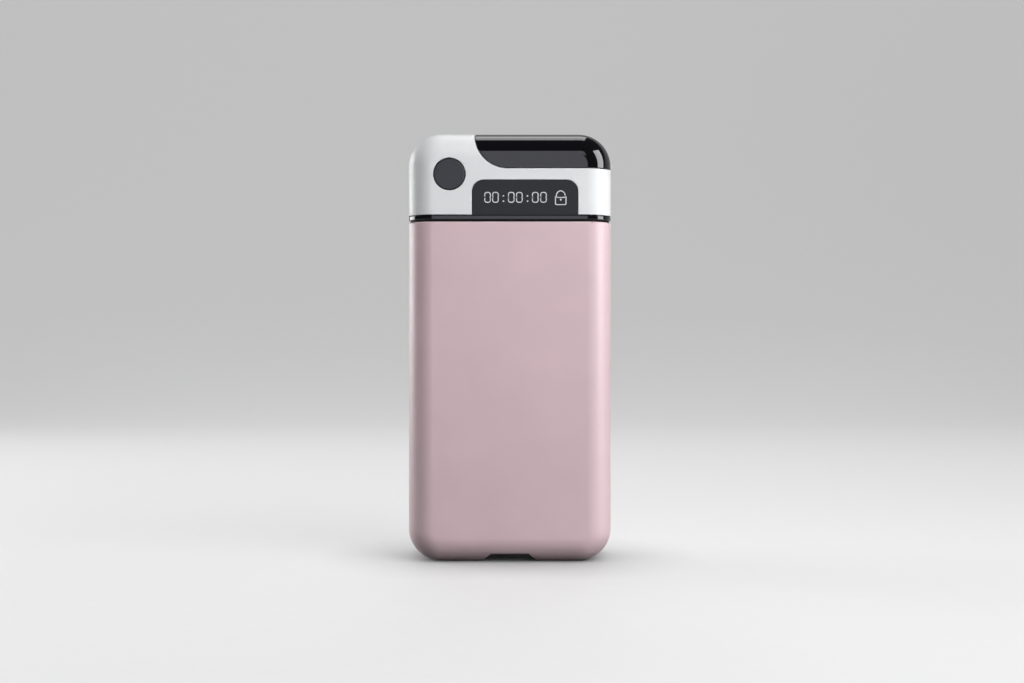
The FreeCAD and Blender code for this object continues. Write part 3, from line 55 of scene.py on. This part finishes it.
PLAIN = (1, 1, 1)
COOL = (0.97, 0.98, 1.10)
OPEN_BEAM, WIDE_BEAM, SOFT_BEAM = 180, 120, 100   # angles of the lamps' beams
LAMPS = [
    # name, azimuth (0 in front of the case, 90 at its right), elevation, distance, size,
    # power in W, beam, colour, rays that don't see it
    ("front_panel", 0, 18.5, 1.0, (0.30, 0.67), 1.0, OPEN_BEAM, COOL, ()),
    ("front_corner_panel", 12.5, 29, 1.0, (0.087, 0.23), 0.10, OPEN_BEAM, COOL, ()),
    ("fill_panel", 45, 28, 0.42, (0.40, 0.40), 1.30, WIDE_BEAM, PLAIN, ("glossy",)),
    ("right_gleam", 71, 22, 0.8, (0.43, 0.66), 7.9, OPEN_BEAM, PLAIN, ("diffuse",)),
    ("right_side_panel", 115, 18, 0.8, (0.50, 0.45), 0.46, SOFT_BEAM, PLAIN, ("glossy",)),
    ("left_rim_panel", -117, 13, 0.8, (0.62, 0.43), 2.0, SOFT_BEAM, PLAIN, ()),
    ("back_panel", 180, 30, 0.9, (0.80, 0.60), 1.75, SOFT_BEAM, PLAIN, ("glossy",)),
    ("top_panel", 180, 71.5, 0.8, (0.40, 0.43), 1.85, OPEN_BEAM, PLAIN, ("diffuse",)),
]


def panel(name, azimuth, elevation, distance, size, power, beam, colour, hidden_from):
    """Rectangular soft light that looks at the case."""
    lamp = bpy.data.lights.new(name, "AREA")
    lamp.shape = "RECTANGLE"
    lamp.size, lamp.size_y = size
    lamp.energy = power
    lamp.color = colour
    lamp.spread = math.radians(beam)
    obj = bpy.data.objects.new(name, lamp)
    bpy.context.scene.collection.objects.link(obj)
    around, up = math.radians(azimuth), math.radians(elevation)
    away = Vector((math.sin(around) * math.cos(up), -math.cos(around) * math.cos(up),
                   math.sin(up)))
    obj.location = LAMP_AIM + away * distance
    obj.rotation_euler = (LAMP_AIM - obj.location).to_track_quat("-Z", "Y").to_euler()
    obj.visible_camera = False
    for ray in hidden_from:
        setattr(obj, "visible_" + ray, False)


def make_camera():
    """Level camera in front of the case, looking along +Y."""
    data = bpy.data.cameras.new("camera")
    data.lens = CAMERA_LENS
    data.sensor_width = CAMERA_SENSOR
    camera = bpy.data.objects.new("camera", data)
    bpy.context.scene.collection.objects.link(camera)
    camera.location = CAMERA_PLACE
    camera.rotation_euler = (math.radians(90), 0, 0)
    bpy.context.scene.camera = camera


def make_world():
    """Dark world with a pale band at the horizon, so that gloss black keeps its dark parts."""
    world = bpy.data.worlds.new("studio")
    world.use_nodes = True
    tree = world.node_tree
    direction = tree.nodes.new("ShaderNodeTexCoord").outputs["Generated"]
    parts = tree.nodes.new("ShaderNodeSeparateXYZ")
    tree.links.new(direction, parts.inputs["Vector"])
    band = tree.nodes.new("ShaderNodeMapRange")
    band.interpolation_type = "SMOOTHSTEP"
    band.inputs["From Min"].default_value, band.inputs["From Max"].default_value = HORIZON_RISE
    band.inputs["To Min"].default_value = HORIZON_GREY
    band.inputs["To Max"].default_value = WORLD_GREY
    tree.links.new(parts.outputs["Z"], band.inputs["Value"])
    tree.links.new(band.outputs["Result"], tree.nodes["Background"].inputs["Color"])
    bpy.context.scene.world = world
    bpy.context.scene.view_settings.view_transform = "Standard"


make_camera()
make_world()
for lamp_row in LAMPS:
    panel(*lamp_row)

# Materials -------------------------------------------------------------------------------------
FLOOR_COLOUR = (0.25, 0.25, 0.253)
FLOOR_GLOW = 0.48             # what the floor and backdrop show besides their lit colour
FLOOR_BOUNCE = 0.05           # albedo of the floor as the case's surfaces see it
PAINTED_SHADOW_REACH = 0.03          # how far around the case a painted shadow darkens the floor's emission
PAINTED_SHADOW_SAMPLES = 8

SHADES = {
    # slot: colour, roughness, metallic, coat, grain size (mm), grain depth, colour change
    "body_pink": ((0.612, 0.455, 0.484), 0.42, 0.0, 0.0, 0.16, 0.10, 0.03),
    "head_white": ((0.70, 0.71, 0.715), 0.34, 0.0, 0.0, 0.20, 0.06, 0.02),
    "gloss_black": ((0.002, 0.002, 0.003), 0.05, 0.0, 0.0, 0.60, 0.01, 0.10),
    "inner_black": ((0.020, 0.020, 0.021), 0.55, 0.0, 0.0, 0.15, 0.15, 0.15),
    "smoked_window": ((0.014, 0.015, 0.017), 0.32, 0.0, 0.0, 0.12, 0.10, 0.10),
    "button_grey": ((0.030, 0.031, 0.038), 0.45, 0.0, 0.0, 0.12, 0.15, 0.06),
    "silicone": ((0.004, 0.004, 0.0045), 0.62, 0.0, 0.0, 0.12, 0.10, 0.12),
    "pad_foam": ((0.06, 0.06, 0.065), 0.90, 0.0, 0.0, 0.35, 0.60, 0.25),
    "steel": ((0.56, 0.56, 0.55), 0.30, 1.0, 0.0, 0.25, 0.12, 0.06),
    "screw_steel": ((0.52, 0.52, 0.52), 0.25, 1.0, 0.0, 0.20, 0.08, 0.06),
    "board_green": ((0.015, 0.13, 0.05), 0.38, 0.0, 0.3, 0.40, 0.08, 0.20),
    "chip_black": ((0.025, 0.025, 0.026), 0.50, 0.0, 0.0, 0.10, 0.20, 0.10),
    "display_black": ((0.008, 0.008, 0.010), 0.08, 0.0, 0.0, 0.50, 0.01, 0.10),
    "cell_foil": ((0.60, 0.61, 0.63), 0.35, 0.9, 0.0, 0.80, 0.15, 0.05),
    "gear_plastic": ((0.74, 0.72, 0.66), 0.40, 0.0, 0.0, 0.20, 0.06, 0.04),
    "display_white": ((0.60, 0.62, 0.66), 0.40, 0.0, 0.0, 0.20, 0.02, 0.02),
    "floor_pale": (FLOOR_COLOUR, 0.60, 0.0, 0.0, 1.50, 0.05, 0.004),
}
SPECULAR = {"head_white": 0.2, "smoked_window": 0.25, "silicone": 0.1, "button_grey": 0.4}
PLAIN_SPECULAR = 0.5

EDGE_SOFTNESS = {"body_pink": 0.30, "head_white": 0.25, "gloss_black": 0.15, "button_grey": 0.20}
PLAIN_SOFTNESS = 0.10         # mm, as the values above
EDGE_SAMPLES = 6
EDGE_WEAR_AND_HIGHLIGHT = 2.5               # how soon a rounded-off edge counts as having wear and a painted highlight
WORN_AND_HIGHLIT_GAIN, WORN_AND_HIGHLIT_LIFT = 1.12, 0.01   # how much lighter such an edge is painted: a painted highlight along the rims, and wear
WORN_POLISH = -0.25           # share by which its roughness changes

CLOUD_SIZE, CLOUD_DETAIL, CLOUD_RANGE = 18.0, 3.0, (0.3, 0.7)    # slow change of colour, size in mm
GLOSS_SIZE, GLOSS_DETAIL, GLOSS_RANGE = 6.0, 4.0, (0.92, 1.08)   # change of roughness, size in mm
GRAIN_DETAIL = 2.0
GRAIN_HEIGHT = 0.1            # share of the grain's size

# The case's outer form is a core box, grown with rounded corners by CORNER_CORE along X and Z, and
# then by EDGE_ROUNDING all round.
CORNER_CORE = 2.0 * MM
EDGE_ROUNDING = 7.5 * MM
CORE_INSET = Vector((EDGE_ROUNDING + CORNER_CORE, EDGE_ROUNDING, EDGE_ROUNDING + CORNER_CORE))
CORE_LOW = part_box("body_shell")[0] + CORE_INSET
CORE_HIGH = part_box("head_shell")[1] - CORE_INSET
FORM_TOLERANCE = 0.06 * MM    # how near to that form a point has to be
FORM_AGREEMENT = 0.95         # least cosine between that form's normal and the mesh's
TINY = 1e-6
OUTER_SLOTS = ("body_pink", "head_white", "gloss_black")


def set_input(tree, socket, value):
    """Link a socket to an input, or write a constant on it."""
    if isinstance(value, bpy.types.NodeSocket):
        tree.links.new(value, socket)
    else:
        socket.default_value = value


def vector_node(tree, operation, a, b=None):
    """Vector math node; its inputs are sockets or constants."""
    node = tree.nodes.new("ShaderNodeVectorMath")
    node.operation = operation
    set_input(tree, node.inputs[0], a)
    if b is not None:
        set_input(tree, node.inputs["Scale" if operation == "SCALE" else 1], b)
    return node.outputs["Value" if operation in ("LENGTH", "DOT_PRODUCT") else "Vector"]


def math_node(tree, operation, a, b, c=0.0):
    """Math node; its inputs are sockets or constants."""
    node = tree.nodes.new("ShaderNodeMath")
    node.operation = operation
    for index, value in enumerate((a, b, c)):
        set_input(tree, node.inputs[index], value)
    return node.outputs[0]


def noise_node(tree, place, feature_mm, detail):
    """Noise whose features are about feature_mm across."""
    node = tree.nodes.new("ShaderNodeTexNoise")
    node.inputs["Scale"].default_value = 1.0 / (feature_mm * MM)
    node.inputs["Detail"].default_value = detail
    tree.links.new(place, node.inputs["Vector"])
    return node.outputs["Fac"]


def true_form_normal(tree, place, mesh, softened):
    """Turn the softened normal by how far the outer form's true normal is from the mesh's."""
    core = vector_node(tree, "MINIMUM", vector_node(tree, "MAXIMUM", place, CORE_LOW), CORE_HIGH)
    reach = vector_node(tree, "SUBTRACT", place, core)
    flat = vector_node(tree, "MULTIPLY", reach, (1, 0, 1))
    span = vector_node(tree, "LENGTH", flat)
    beyond = math_node(tree, "MAXIMUM", math_node(tree, "SUBTRACT", span, CORNER_CORE), 0.0)
    share = math_node(tree, "DIVIDE", beyond, math_node(tree, "MAXIMUM", span, TINY))
    arm = vector_node(tree, "ADD", vector_node(tree, "SCALE", flat, share),
                      vector_node(tree, "MULTIPLY", reach, (0, 1, 0)))
    turn = tree.nodes.new("ShaderNodeVectorTransform")
    turn.vector_type = "NORMAL"
    turn.convert_from = "OBJECT"
    turn.convert_to = "WORLD"
    tree.links.new(vector_node(tree, "NORMALIZE", arm), turn.inputs["Vector"])
    true = turn.outputs["Vector"]
    length = vector_node(tree, "LENGTH", arm)
    on_form = math_node(tree, "COMPARE", length, EDGE_ROUNDING, FORM_TOLERANCE)
    agreement = vector_node(tree, "DOT_PRODUCT", true, mesh)
    alike = math_node(tree, "GREATER_THAN", agreement, FORM_AGREEMENT)
    change = vector_node(tree, "SCALE", vector_node(tree, "SUBTRACT", true, mesh),
                         math_node(tree, "MULTIPLY", on_form, alike))
    return vector_node(tree, "NORMALIZE", vector_node(tree, "ADD", softened, change))


def shade(slot):
    """Procedural material: fine grain in relief, slow change of colour and gloss, edges with wear
    and a painted highlight.
    """
    colour, rough, metallic, coat, grain, depth, change = SHADES[slot]
    mat = bpy.data.materials.new(slot + "_finish")
    mat.use_nodes = True
    tree = mat.node_tree
    surface = tree.nodes["Principled BSDF"]
    surface.inputs["Metallic"].default_value = metallic
    surface.inputs["Coat Weight"].default_value = coat
    surface.inputs["Specular IOR Level"].default_value = SPECULAR.get(slot, PLAIN_SPECULAR)
    place = tree.nodes.new("ShaderNodeTexCoord").outputs["Object"]
    mesh = tree.nodes.new("ShaderNodeNewGeometry").outputs["Normal"]
    edge = tree.nodes.new("ShaderNodeBevel")
    edge.samples = EDGE_SAMPLES
    edge.inputs["Radius"].default_value = EDGE_SOFTNESS.get(slot, PLAIN_SOFTNESS) * MM
    normal = edge.outputs["Normal"]
    turned = math_node(tree, "SUBTRACT", 1.0, vector_node(tree, "DOT_PRODUCT", normal, mesh))
    worn_and_highlit = math_node(tree, "MINIMUM", math_node(tree, "MULTIPLY", turned, EDGE_WEAR_AND_HIGHLIGHT), 1.0)

    ramp = tree.nodes.new("ShaderNodeValToRGB")
    gains = (1 - change, 1 + change)
    for element, position, gain in zip(ramp.color_ramp.elements, CLOUD_RANGE, gains):
        element.position = position
        element.color = [min(1, c * gain) for c in colour] + [1]
    tree.links.new(noise_node(tree, place, CLOUD_SIZE, CLOUD_DETAIL), ramp.inputs["Fac"])
    # Sharp edges are painted lighter: partly wear, partly a painted highlight standing in for the
    # light that rims catch.
    paler_worn_highlit = tree.nodes.new("ShaderNodeMix")
    paler_worn_highlit.data_type = "RGBA"
    tree.links.new(worn_and_highlit, paler_worn_highlit.inputs["Factor"])
    tree.links.new(ramp.outputs["Color"], paler_worn_highlit.inputs["A"])
    paler_worn_highlit.inputs["B"].default_value = [min(1, c * WORN_AND_HIGHLIT_GAIN + WORN_AND_HIGHLIT_LIFT) for c in colour] + [1]
    tree.links.new(paler_worn_highlit.outputs["Result"], surface.inputs["Base Color"])

    span = tree.nodes.new("ShaderNodeMapRange")
    span.inputs["To Min"].default_value = rough * GLOSS_RANGE[0]
    span.inputs["To Max"].default_value = rough * GLOSS_RANGE[1]
    tree.links.new(noise_node(tree, place, GLOSS_SIZE, GLOSS_DETAIL), span.inputs["Value"])
    polish = math_node(tree, "MULTIPLY", worn_and_highlit, WORN_POLISH * rough)
    polished = math_node(tree, "ADD", span.outputs["Result"], polish)
    tree.links.new(polished, surface.inputs["Roughness"])

    if slot in OUTER_SLOTS:
        normal = true_form_normal(tree, place, mesh, normal)
    bump = tree.nodes.new("ShaderNodeBump")
    tree.links.new(normal, bump.inputs["Normal"])
    bump.inputs["Strength"].default_value = depth
    bump.inputs["Distance"].default_value = grain * MM * GRAIN_HEIGHT
    tree.links.new(noise_node(tree, place, grain, GRAIN_DETAIL), bump.inputs["Height"])
    tree.links.new(bump.outputs["Normal"], surface.inputs["Normal"])
    return mat


def make_floor_pale(mat):
    """Keep the floor pale to the eye and in reflections, with a painted shadow darkening it right
    under the case.

    As a source of bounced light the floor is darker, so that it adds little light from below.
    """
    tree = mat.node_tree
    surface = tree.nodes["Principled BSDF"]
    surface.inputs["Emission Color"].default_value = (1, 1, 1, 1)
    # Ambient occlusion darkens the floor's emission near the case: a painted contact shadow, which
    # also darkens the floor seen through the base's channel.
    painted_shadow = tree.nodes.new("ShaderNodeAmbientOcclusion")
    painted_shadow.samples = PAINTED_SHADOW_SAMPLES
    painted_shadow.inputs["Distance"].default_value = PAINTED_SHADOW_REACH
    glow = math_node(tree, "MULTIPLY", painted_shadow.outputs["AO"], FLOOR_GLOW)
    tree.links.new(glow, surface.inputs["Emission Strength"])
    path = tree.nodes.new("ShaderNodeLightPath")
    seen = path.outputs["Is Camera Ray"]
    for ray in ("Is Glossy Ray", "Is Transmission Ray"):
        seen = math_node(tree, "MAXIMUM", seen, path.outputs[ray])
    dark = tree.nodes.new("ShaderNodeBsdfDiffuse")
    dark.inputs["Color"].default_value = (FLOOR_BOUNCE,) * 3 + (1,)
    pick = tree.nodes.new("ShaderNodeMixShader")
    tree.links.new(seen, pick.inputs["Fac"])
    tree.links.new(dark.outputs["BSDF"], pick.inputs[1])
    tree.links.new(surface.outputs["BSDF"], pick.inputs[2])
    tree.links.new(pick.outputs["Shader"], tree.nodes["Material Output"].inputs["Surface"])


FINISH = {slot: shade(slot) for slot in SHADES}
make_floor_pale(FINISH["floor_pale"])

# Floor -----------------------------------------------------------------------------------------
FLOOR_HALF_WIDTH = 7.0
FLOOR_FRONT, FLOOR_BACK = -7.0, 1.1
BACKDROP_BEND, BACKDROP_TOP = 0.5, 1.6
BEND_STEPS = 24


def make_floor():
    """Pale floor that curves up into a backdrop behind the case."""
    profile = [(FLOOR_FRONT, 0.0)]
    for i in range(BEND_STEPS + 1):
        bend = math.radians(90) * i / BEND_STEPS
        profile.append((FLOOR_BACK - BACKDROP_BEND + BACKDROP_BEND * math.sin(bend),
                        BACKDROP_BEND - BACKDROP_BEND * math.cos(bend)))
    profile.append((FLOOR_BACK, BACKDROP_TOP))
    mesh = bpy.data.meshes.new("floor")
    verts = [(x, y, z) for x in (-FLOOR_HALF_WIDTH, FLOOR_HALF_WIDTH) for y, z in profile]
    count = len(profile)
    mesh.from_pydata(verts, [], [(i, count + i, count + i + 1, i + 1) for i in range(count - 1)])
    mesh.shade_smooth()
    floor = bpy.data.objects.new("floor", mesh)
    bpy.context.scene.collection.objects.link(floor)
    mesh.materials.append(FINISH["floor_pale"])


make_floor()

# CAD nodes -------------------------------------------------------------------------------------
for part in frame["record"]["subparts"]:
    node = frame["nodes"][part["node"]]
    for index in range(len(node.data.materials)):
        node.data.materials[index] = FINISH[part["material_slot"]]

# Display ---------------------------------------------------------------------------------------
# The signs are raised strokes and dots on the lens, placed from its left and lower edges.
LENS_LEFT, LENS_FACE, LENS_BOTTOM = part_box("display_lens")[0]
GLYPH_WIDTH = 0.28 * MM
GLYPH_RISE = 0.03 * MM
CORNER_STEPS = 6
DOT_SIDES = 20

DIGIT_SIZE = (1.94 * MM, 3.17 * MM)
DIGIT_CORNER = 0.62 * MM
DIGIT_BASE = LENS_BOTTOM + 3.43 * MM
DIGIT_WAIST = 0.13 * MM       # depth of the nicks at half height
DIGIT_NICK = 0.25 * MM        # half their height
DIGITS_X = [LENS_LEFT + x * MM for x in (5.47, 7.77, 12.40, 14.77, 19.43, 21.83)]   # middles
COLONS_X = [LENS_LEFT + x * MM for x in (10.09, 17.15)]
COLON_Z = [LENS_BOTTOM + z * MM for z in (3.91, 5.43)]   # middles of a colon's two dots
COLON_R = 0.24 * MM

PADLOCK_X = LENS_LEFT + 26.87 * MM   # its middle
PADLOCK_BASE = LENS_BOTTOM + 2.89 * MM
PADLOCK_HALF = 1.55 * MM      # half the body's width
PADLOCK_HEIGHT = 2.40 * MM    # of the body, without the shackle
PADLOCK_CORNER = 0.35 * MM
PADLOCK_LIFT = 0.08 * MM      # how much higher its right side ends
SHACKLE_RADII = (1.33 * MM, 1.62 * MM)              # across and up
SHACKLE_ENDS, SHACKLE_STEPS = (178, 10), 16         # angles in degrees, 0 at the right
TOP_LINE_SAG = 0.42 * MM      # of the line that closes the body's top
TOP_LINE_ENDS, TOP_LINE_STEPS = (190, 356), 14
KEYHOLE_Z = 1.42 * MM         # its middle, from the padlock's base
KEYHOLE_R = 0.27 * MM


def arc(centre, radii, start, end, steps):
    """Points along an ellipse's arc, angles in degrees."""
    points = []
    for i in range(steps + 1):
        turn = math.radians(start + (end - start) * i / steps)
        points.append((centre[0] + radii[0] * math.cos(turn),
                       centre[1] + radii[1] * math.sin(turn)))
    return points


def digit_outline(x, z, width, height, corner):
    """Rounded rectangle with small nicks half way up its sides."""
    points = []
    middle = z + height / 2
    for side, end, start in ((1, 1, 0), (-1, 1, 90), (-1, -1, 180), (1, -1, 270)):
        centre = (x + side * (width / 2 - corner), middle + end * (height / 2 - corner))
        points += arc(centre, (corner, corner), start, start + 90, CORNER_STEPS)
    left, right = x - width / 2, x + width / 2
    half_way = len(points) // 2
    points[half_way:half_way] = [(left, middle - DIGIT_NICK), (left + DIGIT_WAIST, middle),
                                 (left, middle + DIGIT_NICK)]
    points += [(right, middle - DIGIT_NICK), (right - DIGIT_WAIST, middle),
               (right, middle + DIGIT_NICK)]
    return points


def stroke(mesh, points, closed):
    """Add a raised line of even width that follows points (x, z) on the lens.

    Each point gets a rail of four corners: foot and top on one side, foot and top on the other.
    """
    count = len(points)
    rails = []
    for i, (x, z) in enumerate(points):
        before = points[i - 1] if closed or i > 0 else points[i]
        after = points[(i + 1) % count] if closed or i < count - 1 else points[i]
        along = Vector((after[0] - before[0], after[1] - before[1])).normalized()
        side = Vector((-along.y, along.x)) * GLYPH_WIDTH / 2
        rails.append([mesh.verts.new((x + sign * side.x, y, z + sign * side.y))
                      for sign in (-1, 1) for y in (LENS_FACE, LENS_FACE - GLYPH_RISE)])
    for i in range(count if closed else count - 1):
        here, there = rails[i], rails[(i + 1) % count]
        for first, second in ((0, 1), (1, 3), (3, 2)):   # one side, the top, the other side
            mesh.faces.new((here[first], there[first], there[second], here[second]))
    if not closed:
        for end in (rails[0], rails[-1]):
            mesh.faces.new((end[0], end[1], end[3], end[2]))


def dot(mesh, x, z, radius):
    """Add a raised round dot."""
    ring = arc((x, z), (radius, radius), 0, 360 - 360 / DOT_SIDES, DOT_SIDES - 1)
    foot = [mesh.verts.new((px, LENS_FACE, pz)) for px, pz in ring]
    top = [mesh.verts.new((px, LENS_FACE - GLYPH_RISE, pz)) for px, pz in ring]
    mesh.faces.new(top)
    for i in range(len(ring)):
        j = (i + 1) % len(ring)
        mesh.faces.new((foot[i], foot[j], top[j], top[i]))


def finish_piece(mesh, name):
    """Turn a bmesh into a sign that rides on the head."""
    bmesh.ops.recalc_face_normals(mesh, faces=mesh.faces)
    data = bpy.data.meshes.new(name)
    mesh.to_mesh(data)
    mesh.free()
    piece = bpy.data.objects.new(name, data)
    bpy.context.scene.collection.objects.link(piece)
    data.materials.append(FINISH["display_white"])
    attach(piece, "head")


def make_digits():
    mesh = bmesh.new()
    for x in DIGITS_X:
        outline = digit_outline(x, DIGIT_BASE + GLYPH_WIDTH / 2, DIGIT_SIZE[0] - GLYPH_WIDTH,
                                DIGIT_SIZE[1] - GLYPH_WIDTH, DIGIT_CORNER)
        stroke(mesh, outline, True)
    for x in COLONS_X:
        for z in COLON_Z:
            dot(mesh, x, z, COLON_R)
    finish_piece(mesh, "display_digits")


def make_padlock():
    mesh = bmesh.new()
    x, z, top = PADLOCK_X, PADLOCK_BASE, PADLOCK_BASE + PADLOCK_HEIGHT
    radii = (PADLOCK_CORNER, PADLOCK_CORNER)
    body = [(x - PADLOCK_HALF, top)]
    for side, start in ((-1, 180), (1, 270)):
        centre = (x + side * (PADLOCK_HALF - PADLOCK_CORNER), z + PADLOCK_CORNER)
        body += arc(centre, radii, start, start + 90, CORNER_STEPS)
    body.append((x + PADLOCK_HALF, top + PADLOCK_LIFT))
    stroke(mesh, body, False)
    stroke(mesh, arc((x, top), SHACKLE_RADII, *SHACKLE_ENDS, SHACKLE_STEPS), False)
    stroke(mesh, arc((x, top + PADLOCK_LIFT), (PADLOCK_HALF, TOP_LINE_SAG), *TOP_LINE_ENDS,
                     TOP_LINE_STEPS), False)
    dot(mesh, x, z + KEYHOLE_Z, KEYHOLE_R)
    finish_piece(mesh, "display_padlock")


make_digits()
make_padlock()
